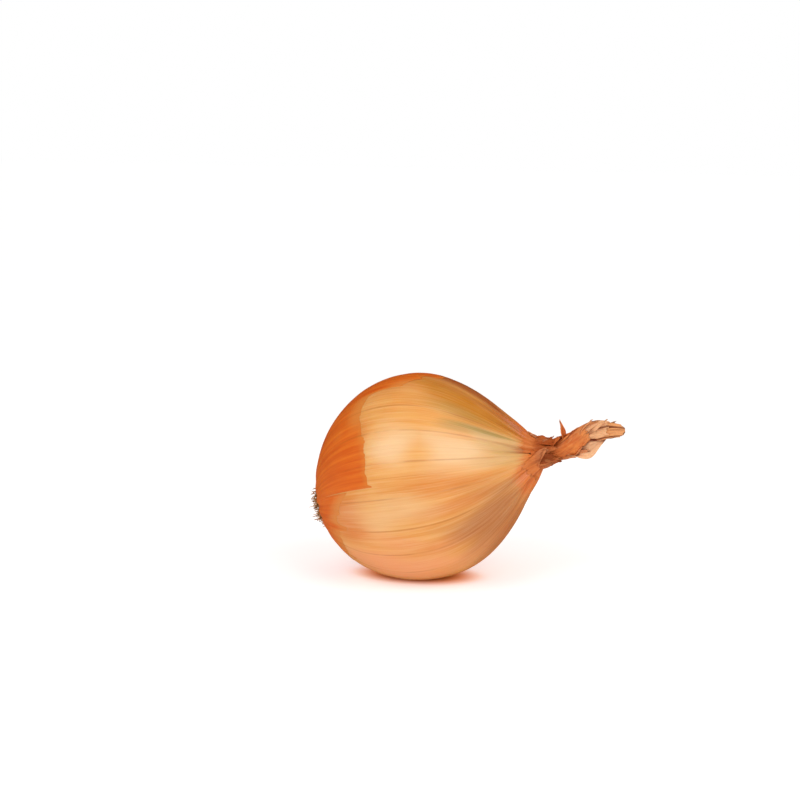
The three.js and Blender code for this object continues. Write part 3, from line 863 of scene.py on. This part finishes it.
SHREDS = [
    # where it starts along the strap and round it, length, width, lean outwards, curl, twist, straw
    (11.0, 184, 14.5, 7.8, 0, -15, -80, 1.0),
    (9.5, 164, 8.0, 4.2, 9, -6, 45, 0.3),
    (3.6, -28, 11, 3.8, 12, 6, 10, 0.0),
    (6.8, -20, 8.5, 3.0, 6, -4, -20, 0.0),
    (9.6, -30, 7.4, 2.8, 64, 26, 30, 0.0),
    (0.4, 0, 4.8, 1.5, 116, 36, 20, 0.5),
    (4.4, 20, 5.5, 4.6, 36, -20, 0, 0.0),
    (0.4, 140, 4.6, 3.4, 8, -22, 10, 0.3),
    (2.4, 62, 5.0, 3.2, 12, -10, 0, 0.1),
    (2.2, 205, 4.6, 2.8, 4, -16, 0, 0.2),
    (2.6, 250, 4.6, 3.6, 4, -10, 0, 0.1),
    (6.8, 276, 13, 3.2, 22, -16, 20, 0.3),
    (2.4, 300, 5.2, 2.6, 20, 10, 0, 0.2),
    (20.5, 60, 8.5, 2.6, 8, -8, 25, 0.6),
    (22.0, 300, 8.0, 2.4, 10, -10, -25, 0.6),
    (17.0, 20, 7.5, 2.2, 12, -12, 15, 0.2),
]
FLAKES = 44
BLADE_THICKNESS = 0.22
print(len(BLADES), "blades and", len(SHREDS), "shreds")

# %% [markdown]
# ## The strap's folds
#
# A leaf base folds like a fan: flat panels that meet in sharp creases. A triangle wave with its
# corners just softened gives both. The folds are painted darker inwards as painted shade, and the
# marks keep how deep each point lies, so that the finish can follow.

# %% The folded strap
STRAP_ROWS, STRAP_SIDES = 130, 140


def fold_wave(angle):
    """A wave with sharp creases and flat panels between them, from -1 to 1."""
    return np.arcsin(0.96 * np.cos(angle)) / math.asin(0.96)


def strap_folds(along, angle):
    """How far in or out the strap's section is folded, as a share of its half thickness."""
    flat = smooth(along, 2.0, 9.0)
    pleats = 0.09 * fold_wave(9 * angle) + 0.06 * fold_wave(14 * angle + 1)
    calm = smooth(np.sin(angle), 0.1, 0.7) * smooth(along, 3, 7) * (1 - smooth(along, 18, 25))
    folds = 0.2 * fold_wave(5 * angle + 0.1 * along) + 0.1 * fold_wave(12 * angle + 0.3 * along)
    folds = folds * (1 - 0.65 * calm)
    crumple = 0.05 * ripples(angle, along, 61, (4, 16), (0.05, 0.25), 12)
    return pleats * (1 - flat) + folds * (0.5 + flat) + crumple


def narrowed(along, angle):
    """The strap's lower half is narrower where the pale flap hangs below it."""
    low = smooth(-np.cos(angle), 0.0, 0.9)
    return 1 - 0.62 * low * smooth(along, 11.5, 15.5) * (1 - smooth(along, 19.5, 24))


def leaf_marks(along, turn, fold, straw, young=0.0):
    """The marks that the withered leaf's material reads."""
    ones = np.ones(along.shape)
    place = np.stack([4 * np.cos(turn), 4 * np.sin(turn) + 9 * straw * ones, along * ones], -1)
    low = np.maximum(smooth(-np.cos(turn), -0.2, 0.8), 0.7 * smooth(np.cos(turn), 0.6, 0.95))
    collar = max(0.0, 0.8 - 1.2 * straw) * (1 - smooth(along, 4 + 3 * low, 11 + 3 * low))
    numbers = {
        "tip": 0.8 * smooth(along, 14, 30),
        "straw": straw * ones,
        "fold": fold * ones,
        "young": young * ones,
        "collar": collar * smooth(along, -1, 1),
    }
    return {"leaf_at": place.reshape(-1, 3), **{name: value.ravel() for name, value in numbers.items()}}


def strap_part():
    """The folded strap as one closed tube."""
    along, turn = crossed(
        np.linspace(-1.5, STRAP_ALONG[-1], STRAP_ROWS),
        np.linspace(0, FULL_TURN, STRAP_SIDES, endpoint=False),
    )
    line = strap_at(along)
    folds = strap_folds(along, turn)
    deep = (1 + folds)[..., None]
    end = smooth(along, STRAP_ALONG[-1] - 3.5, STRAP_ALONG[-1])
    tatter = (0.5 * edge_ripples(turn, 62, (2, 9)) + 1.5 - 2.4 * np.abs(np.cos(turn)) ** 3) * end
    line["thick"] = line["thick"] * (1 - 0.75 * end)[..., None]
    widen = (deep + (1 - deep) * smooth(along, 2, 5)[..., None]) * narrowed(along, turn)[..., None]
    points = line["place"] + line["wide_way"] * line["wide"] * np.cos(turn)[..., None] * widen
    points = points + line["thick_way"] * line["thick"] * np.sin(turn)[..., None] * deep
    points = points + line["ahead"] * tatter[..., None]
    # the folds are painted darker inwards, as painted shade
    painted_shade = smooth(-folds, 0.05, 0.3) * 0.9
    marks = leaf_marks(along, turn, painted_shade, 0.0)
    flat = placed(points).reshape(-1, 3)
    count, sides = len(flat), STRAP_SIDES
    faces = grid_faces(STRAP_ROWS, sides, True)
    faces += [[*range(sides - 1, -1, -1)], [*range(count - sides, count)]]
    return flat, faces, marks


print("strap of", STRAP_ROWS * STRAP_SIDES, "points")

# %% [markdown]
# ## Blades
#
# A blade is a thin sheet laid round part of the strap, over its folds. Its foot starts on the bulb's
# pleats, which it follows until the strap begins, and its end is torn.

# %% A blade
BLADE_ROWS, BLADE_COLUMNS = 56, 28


def surface_normals(points):
    """The normals of an open grid of points."""
    across = np.gradient(points, axis=1)
    down = np.gradient(points, axis=0)
    normal = np.cross(down, across)
    return normal / np.maximum(np.linalg.norm(normal, axis=-1, keepdims=True), 1e-9)


def blade_part(blade, seed):
    """A thin dead leaf wrapped part of the way round the strap, with a ragged end."""
    chance = np.random.default_rng(seed)
    start, stop, middle, wrap, foot, end, straw, drift, narrowing, lateness, painted_shade = blade
    share, across = crossed(np.linspace(0, 1, BLADE_ROWS), np.linspace(-1, 1, BLADE_COLUMNS))
    torn = sum(chance.uniform(0.2, 0.6) * np.cos(n * across + chance.uniform(0, 6)) for n in (3, 7, 13, 24))
    reach = stop - start
    along = start + share * (reach + 0.7 * torn * share**2) + 0.9 * torn[:, ::-1] * (1 - share) ** 8
    narrow = 1 - narrowing * share**lateness
    turn = math.radians(middle) + math.radians(wrap / 2) * across * narrow
    turn = turn + math.radians(drift) * share
    turn = turn + 0.06 * ripples(across, along, seed, (1, 3), (0.04, 0.12))
    line = strap_at(along)
    lift = foot + (end - foot) * share**2.2
    lift = lift + 0.12 * ripples(turn, along, seed + 1, (5, 18), (0.05, 0.3), 10) * smooth(share, 0.05, 0.4)
    lift = lift + 0.35 * smooth(np.abs(across), 0.75, 1.0) * share
    lift = lift - 0.45 * (1 - smooth(share * reach, 0.4, 2.4))
    deep = 1 + 0.8 * strap_folds(along, turn)
    out = line["wide_way"] * np.cos(turn)[..., None] + line["thick_way"] * np.sin(turn)[..., None]
    wide, thick = line["wide"][..., 0], line["thick"][..., 0]
    widen = (deep + (1 - deep) * smooth(along, 2, 5)) * narrowed(along, turn)
    body = line["wide_way"] * (wide * np.cos(turn) * widen)[..., None]
    body = body + line["thick_way"] * (thick * np.sin(turn) * deep)[..., None]
    body = body + line["place"] + out * lift[..., None]
    body = shrink_to_bulb(body, along, turn, lift)
    normal = surface_normals(body)
    facing = np.sign((normal * out).sum(-1, keepdims=True))
    top = placed(body + normal * facing * BLADE_THICKNESS)
    # painted shade in the folds and, for some blades, at the foot by the collar
    fold = smooth(-strap_folds(along, turn), 0.08, 0.3) * 0.8
    fold = np.maximum(fold, painted_shade * (1 - smooth(along, 5, 7)))
    young = 1 - smooth(along, -1.5, 2.4)
    marks = leaf_marks(along, turn, fold * (1 - 0.6 * young), straw, young)
    return sheet_solid(top, placed(body), marks)


def shrink_to_bulb(body, along, turn, lift):
    """Where a blade starts before the strap does, it lies on the bulb's own pleats instead."""
    s = NECK_END + np.minimum(along, 0)
    skin = on_axis_frame(s, turn - math.radians(VEIN_TWIST_DEG) * (s / ROOT_TO_BELLY - 1), lift)
    share = smooth(along, -0.6, 0.9)[..., None]
    return skin * (1 - share) + body * share


print("blade of", BLADE_ROWS * BLADE_COLUMNS, "points on each face")

# %% [markdown]
# ## Shreds and flakes
#
# Shreds are narrow strips that come away from the strap. Each one leaves it at a lean, curls and
# twists on its way, and arches across its width, which is what a drying strip of leaf does. Each is
# painted darker at its foot as painted shade, and so is the gap where the pale ones meet the strap.
# Small flakes cover the far side of the collar, and they are drawn from a seed because none of them
# shows on its own.

# %% A shred
SHRED_ROWS, SHRED_COLUMNS = 28, 10
GOLDEN_ANGLE_DEG = 137.5  # it spreads things round a stem so that no two line up


def in_the_crease(points, along):
    """How deep points are in the shade between the strap and what stands off it."""
    line = strap_at(along)
    away = points - line["place"]
    wide = (away * line["wide_way"]).sum(-1) / line["wide"][..., 0]
    thick = (away * line["thick_way"]).sum(-1) / line["thick"][..., 0]
    wide = wide / narrowed(along, np.arctan2(thick, wide))
    return 1 - smooth(np.hypot(wide, thick), 1.35, 2.0)


def shred_part(shred, seed):
    """A narrow strip of leaf that leaves the strap, arches across its width and curls."""
    start, round_deg, length, wide, lean, curl, twist, straw = shred
    rows, columns = SHRED_ROWS, SHRED_COLUMNS
    line = {key: value[0] for key, value in strap_at(np.array([float(start)])).items()}
    turn = math.radians(round_deg)
    out = line["wide_way"] * math.cos(turn) + line["thick_way"] * math.sin(turn)
    out = out / np.linalg.norm(out)
    width = np.cross(line["ahead"], out)
    reach = math.hypot(line["wide"][0] * math.cos(turn), line["thick"][0] * math.sin(turn))
    place = line["place"] + out * reach * (0.82 + 0.16 * float(start < 5))
    grid = np.zeros((rows, columns, 3))
    across = np.linspace(-1, 1, columns)
    chance = np.random.default_rng(seed)
    waves = chance.uniform(0, 6, 4)
    for i in range(rows):
        t = i / (rows - 1)
        tilt = math.radians(lean + curl * t)
        way = line["ahead"] * math.cos(tilt) + out * math.sin(tilt)
        face = out * math.cos(tilt) - line["ahead"] * math.sin(tilt)
        roll = math.radians(twist) * smooth(t, 0, 0.5)
        rolled = width * math.cos(roll) + face * math.sin(roll)
        facing = face * math.cos(roll) - width * math.sin(roll)
        half = wide / 2 * (1 - 0.8 * t**2) * (1 + 0.12 * math.sin(9 * t + waves[0]))
        arch = -0.4 * half * across**2 + 0.14 * np.sin(5 * across + 6 * t + waves[1])
        torn = (0.6 * np.sin(7 * across + waves[2]) + 0.4 * np.sin(17 * across + waves[3])) * t**3
        grid[i] = place + rolled * (across * half)[:, None] + facing * arch[:, None] + way * torn[:, None]
        place = place + way * length / (rows - 1)
    normal = surface_normals(grid)
    share, spread = crossed(np.linspace(0, 1, rows), across)
    along = start + share * length
    # painted shade at the shred's foot and in the crease by the strap
    fold = np.maximum(0.7 * (1 - smooth(share, 0.0, 0.25)), straw * in_the_crease(grid, along))
    marks = leaf_marks(along, turn + 0.3 * spread, fold, straw)
    return sheet_solid(placed(grid + normal * BLADE_THICKNESS), placed(grid), marks)


def flakes():
    """Small torn flakes over the far side of the collar and the waist, and fewer along the strap."""
    chance = np.random.default_rng(19)
    for number in range(FLAKES):
        start = chance.uniform(-1.0, 4.5) if number % 8 else chance.uniform(6, 13)
        round_deg = number * GOLDEN_ANGLE_DEG % 360
        if 40 < round_deg < 230:
            continue
        size = chance.uniform(2.4, 5.0), chance.uniform(1.6, 3.6)
        yield (start, round_deg, *size, chance.uniform(-6, 14), chance.uniform(-25, 5),
               chance.uniform(-30, 30), chance.uniform(0, 0.5))  # fmt: skip


print("flakes that are kept:", len(list(flakes())))

# %% [markdown]
# ## One neck
#
# Strap, blades, shreds and flakes grew as one and are one mesh. Each has its own seed, so that a
# change to one doesn't stir the others.

# %% Build the neck
def build_neck():
    parts = [strap_part()]
    parts += [blade_part(blade, 100 + 3 * i) for i, blade in enumerate(BLADES)]
    parts += [shred_part(shred, 200 + i) for i, shred in enumerate([*SHREDS, *flakes()])]
    make_piece("Neck", parts, "neck", WITHERED_LEAF)


build_neck()

# %% [markdown]
# ## The roots' finish
#
# Dried roots are dull and corky, with no gloss at all. They run from straw to dark brown, so each
# rootlet has a shade of its own, and they are darkest where they leave the plate.

# %% Material of the roots
def dry_root(tree):
    at = add(tree, "Attribute", {"attribute_name": "root_at"}, (), "Vector")
    speckle = grain(tree, at, (0.5, 0.5, 0.5))
    layers = [("shade", "#d9a869"), ("plate", "#5b3a22"), ((speckle, 0.5, 0.7, 0.0, 0.45), "#6b4226")]
    bump = add(tree, "Bump", {}, {"Strength": 1.0, "Distance": 0.0002, "Height": speckle})
    return {"Base Color": layered(tree, "#8a5526", layers), "Normal": bump}


DRY_ROOT = finished("Dried_root", dry_root, {"IOR": 1.45, "Metallic": 0.0, "Roughness": 0.82})

# %% [markdown]
# ## The roots
#
# The roots grow from a corky brown plate and dry to a mat of thin, curly, straw-coloured threads
# that lie against the skin. Each one is a tube of five sides along a wandering path. The path is
# kept out of the skin by asking the outline's formula where the skin is.

# %% Build the roots
PLATE_RADIUS = 7.2
PLATE_HEIGHT = 2.2
ROOTLETS = 330
ROOTLET_RADIUS = 0.19
ROOTLET_SIDES = 5
ROOTLET_STEPS = 15


def skin_level(radius):
    """Where along the axis the bulb's skin is, at a distance from the axis near the root end."""
    back = (1 - np.clip(radius / BELLY_RADIUS, 0, 1) ** ROOT_ROUNDNESS) ** (1 / ROOT_ROUNDNESS)
    dimple = DIMPLE_DEPTH * np.clip(1 - (radius / DIMPLE_RADIUS) ** 2, 0, 1) ** 2
    return -ROOT_TO_BELLY * back + dimple


def plate_part():
    """The rough corky plate, as a low dome."""
    rows, columns = 26, 96
    rise, turn = crossed(np.linspace(0, 1, rows), np.linspace(0, FULL_TURN, columns, endpoint=False))
    rough = 1 + 0.07 * ripples(turn, 9 * rise, 71, (5, 30), (0.1, 0.6), 12)
    across = PLATE_RADIUS * np.sqrt(1 - 0.985 * rise**2) * rough
    x = -ROOT_TO_BELLY + 2.5 - (PLATE_HEIGHT + 1.4) * rise**0.8
    x = x + 0.16 * ripples(turn, 9 * rise, 72, (5, 24), (0.1, 0.5), 12)
    points = np.stack([x, -across * np.sin(turn), ROOT_DROOP + across * np.cos(turn)], -1)
    flat = placed(points).reshape(-1, 3)
    faces = grid_faces(rows, columns, True)
    faces += [[*range(columns - 1, -1, -1)], [*range(len(flat) - columns, len(flat))]]
    ones = np.ones(len(flat))
    return flat, faces, {"root_at": points.reshape(-1, 3), "shade": 0.2 * ones, "plate": ones}


def rootlet_part(number, chance):
    """One dried rootlet: a thin tube along a path that wanders and lies down on the skin."""
    share = math.sqrt((number + 0.5) / ROOTLETS)
    turn = number * math.radians(137.508) + chance.normal(0, 0.15)
    reach = 0.93 * PLATE_RADIUS * share
    point = np.array([-ROOT_TO_BELLY - 0.2, -reach * math.sin(turn), ROOT_DROOP + reach * math.cos(turn)])
    length = chance.uniform(1.8, 4.2) * (1.0 if number % 5 else 0.6)
    splay = math.radians(15 + 62 * share**2 + chance.normal(0, 14))
    drift = turn + chance.normal(0, 0.5)
    curl, bend = chance.normal(0, 0.26), chance.normal(0, 0.2)
    path = []
    for i in range(ROOTLET_STEPS):
        path.append(point)
        away = math.sin(splay)
        way = np.array([-math.cos(splay), -away * math.sin(drift), away * math.cos(drift)])
        point = point + way * length / ROOTLET_STEPS
        radius = math.hypot(point[1], point[2] - ROOT_DROOP)
        point[0] = min(point[0], skin_level(radius) - 0.5)
        drift += curl + chance.normal(0, 0.16)
        splay += bend * 0.6 + chance.normal(0, 0.12)
    path = np.array(path)
    way = np.gradient(path, axis=0)
    way = way / np.linalg.norm(way, axis=1, keepdims=True)
    side = np.cross(way, [0.3, 0.5, 0.8])
    side = side / np.linalg.norm(side, axis=1, keepdims=True)
    other = np.cross(way, side)
    taper = ROOTLET_RADIUS * chance.uniform(0.8, 1.25) * (1 - 0.65 * np.linspace(0, 1, ROOTLET_STEPS) ** 2)
    turns = np.linspace(0, FULL_TURN, ROOTLET_SIDES, endpoint=False)
    ring = side[:, None] * np.cos(turns)[None, :, None] + other[:, None] * np.sin(turns)[None, :, None]
    points = (path[:, None] + ring * taper[:, None, None]).reshape(-1, 3)
    faces = grid_faces(ROOTLET_STEPS, ROOTLET_SIDES, True)
    faces += [[*range(ROOTLET_SIDES - 1, -1, -1)], [*range(len(points) - ROOTLET_SIDES, len(points))]]
    plate = 0.5 * (1 - smooth(np.arange(len(points)), 0, 30))
    shade = chance.uniform(0, 1) * np.ones(len(points))
    return placed(points), faces, {"root_at": points, "shade": shade, "plate": plate}


def build_roots():
    chance = np.random.default_rng(7)
    parts = [plate_part()] + [rootlet_part(i, chance) for i in range(ROOTLETS)]
    make_piece("Roots", parts, "roots", DRY_ROOT)


build_roots()

# %% [markdown]
# ## The camera
#
# The photograph was taken from a little above the onion with a long lens, turned slightly so that
# the neck points away to the right. The camera stands where that view needs it, at a real distance,
# and is turned until the belly's middle falls at the same place in the picture. Nothing is shifted.

# %% Place the camera
PICTURE = 800
FOCAL_MM = 100.0
SENSOR_MM = 36.0
CAMERA_DISTANCE = 813.3
CAMERA_TURN = math.radians(16)
CAMERA_HEIGHT = math.radians(12)
BELLY_IN_PICTURE = (420.75, 476.63)


def place_camera():
    data = bpy.data.cameras.new("Camera")
    data.lens, data.sensor_width = FOCAL_MM, SENSOR_MM
    data.clip_start, data.clip_end = 0.05, 20
    camera = bpy.data.objects.new("Camera", data)
    bpy.context.scene.collection.objects.link(camera)
    level = math.cos(CAMERA_HEIGHT)
    back = Vector((math.sin(CAMERA_TURN) * level, -math.cos(CAMERA_TURN) * level, math.sin(CAMERA_HEIGHT)))
    camera.location = (Vector(SHIFT.tolist()) + back * CAMERA_DISTANCE) / 1000
    focal_pixels = PICTURE * FOCAL_MM / SENSOR_MM
    right = math.atan((BELLY_IN_PICTURE[0] - PICTURE / 2) / focal_pixels)
    down = math.atan((BELLY_IN_PICTURE[1] - PICTURE / 2) / focal_pixels)
    aim = back.to_track_quat("Z", "Y").to_matrix()
    aim = aim @ Matrix.Rotation(right, 3, "Y") @ Matrix.Rotation(down, 3, "X")
    camera.rotation_mode = "QUATERNION"
    camera.rotation_quaternion = aim.to_quaternion()
    bpy.context.scene.camera = camera
    print("camera at", [round(v, 3) for v in camera.location])


place_camera()

# %% [markdown]
# ## The floor and the light
#
# The onion lies on plain white in soft studio light. Two large soft boxes stand in front and above,
# a little apart, and give the skin its two broad highlights with a darker band between. A third,
# weak and warm, lights the top from behind. The white floor throws light back into the belly. It
# glows a little of its own, so that it stays as white as the background, except in a painted contact
# shadow where the onion rests: there its glow is cut and it is painted orange. Reflections see both
# as warm and dim, so that they don't grey the skin's colour.

# %% Floor, soft boxes and background
FLOOR_HALF = 2.0
GLOW_NEAR, GLOW_FAR = 0.42, 0.58
CONTACT_LENGTH, CONTACT_WIDTH = 0.016, 0.01  # the contact shadow's half sizes in metres
CONTACT_X = -0.0168


def white_paper(tree):
    place = add(tree, "TexCoord", {}, (), "Object")
    away = add(tree, "VectorMath", LENGTH, (place,), "Value")
    scale = (1 / CONTACT_LENGTH, 1 / CONTACT_WIDTH, 0.0)
    shift = (-CONTACT_X / CONTACT_LENGTH, 0.0, 0.0)
    onto = add(tree, "Mapping", {}, {"Vector": place, "Location": shift, "Scale": scale})
    apart = add(tree, "VectorMath", LENGTH, (onto,), "Value")
    far = add(tree, "MapRange", SOFT_STEP, (away, 0.12, 0.6))
    clear = add(tree, "MapRange", SOFT_STEP, (apart, 0.6, 1.7))
    near_glow = add(tree, "Math", TIMES, (clear, GLOW_NEAR))
    glow = add(tree, "Math", PLUS, (near_glow, add(tree, "Math", TIMES, (far, GLOW_FAR))))
    mirrored = add(tree, "LightPath", {}, (), "Is Glossy Ray")
    dimmed = add(tree, "MapRange", SOFT_STEP, (mirrored, 0.0, 1.0, 1.0, 0.1))
    # painted shadow: inside the contact ellipse the paper is painted orange, a warm painted contact shadow
    paper_and_painted_shadow = [((apart, 0.9, 1.9), "#e8e6e8"), (mirrored, "#8a5a34"), (far, "#000000")]
    return {
        "Base Color": layered(tree, "#ffaa44", paper_and_painted_shadow),
        "Emission Strength": add(tree, "Math", TIMES, (glow, dimmed)),
        # the glow is painted orange near the contact, as part of the painted shadow
        "Emission Color": layered(tree, "#ea9a3c", [(clear, "#ffffff"), (mirrored, "#d07a38")]),
    }


FLOOR_WHITE = finished("Matt_white_paper", white_paper, {"Roughness": 0.9})


def build_floor():
    half = FLOOR_HALF
    mesh = bpy.data.meshes.new("Floor")
    corners = [(-half, -half, 0), (half, -half, 0), (half, half, 0), (-half, half, 0)]
    mesh.from_pydata(corners, [], [(0, 1, 2, 3)])
    mesh.materials.append(FLOOR_WHITE)
    floor = bpy.data.objects.new("Floor", mesh)
    bpy.context.scene.collection.objects.link(floor)


SOFT_BOXES = [
    # name, azimuth and height in degrees, distance and size in metres, glow, tint
    ("Soft_box_left", -30, 40, 0.9, 0.6, 2.5, "#ffffff"),
    ("Soft_box_right", 62, 38, 0.9, 0.8, 1.84, "#ffffff"),
    ("Soft_box_top", 170, 80, 1.0, 0.8, 0.6, "#ffc890"),
]


def soft_box(name, azimuth, height, distance, size, glow, tint):
    """A square area light that looks at the onion from an azimuth and a height in degrees."""
    data = bpy.data.lights.new(name, "AREA")
    data.shape, data.size, data.energy = "SQUARE", size, glow * math.pi * size**2
    data.color = linear(tint)[:3]
    lamp = bpy.data.objects.new(name, data)
    a, e = math.radians(azimuth), math.radians(height)
    back = Vector((math.sin(a) * math.cos(e), -math.cos(a) * math.cos(e), math.sin(e)))
    lamp.location = Vector((SHIFT / 1000).tolist()) + back * distance
    lamp.rotation_mode = "QUATERNION"
    lamp.rotation_quaternion = back.to_track_quat("Z", "Y")
    bpy.context.scene.collection.objects.link(lamp)


build_floor()
for box in SOFT_BOXES:
    soft_box(*box)


def white_background():
    world = bpy.data.worlds.new("White")
    bpy.context.scene.world = world
    world.use_nodes = True
    tree = world.node_tree
    seen = add(tree, "LightPath", {}, (), "Is Camera Ray")
    mirrored = add(tree, "LightPath", {}, (), "Is Glossy Ray")
    shine = add(tree, "MapRange", SOFT_STEP, (mirrored, 0.0, 1.0, 0.52, 0.09))
    surroundings = tree.nodes["Background"].inputs
    tree.links.new(layered(tree, "#ffffff", [(mirrored, "#e08a40")]), surroundings["Color"])
    tree.links.new(add(tree, "Math", LARGER, (seen, shine)), surroundings["Strength"])


white_background()
bpy.context.scene.view_settings.view_transform = "Standard"
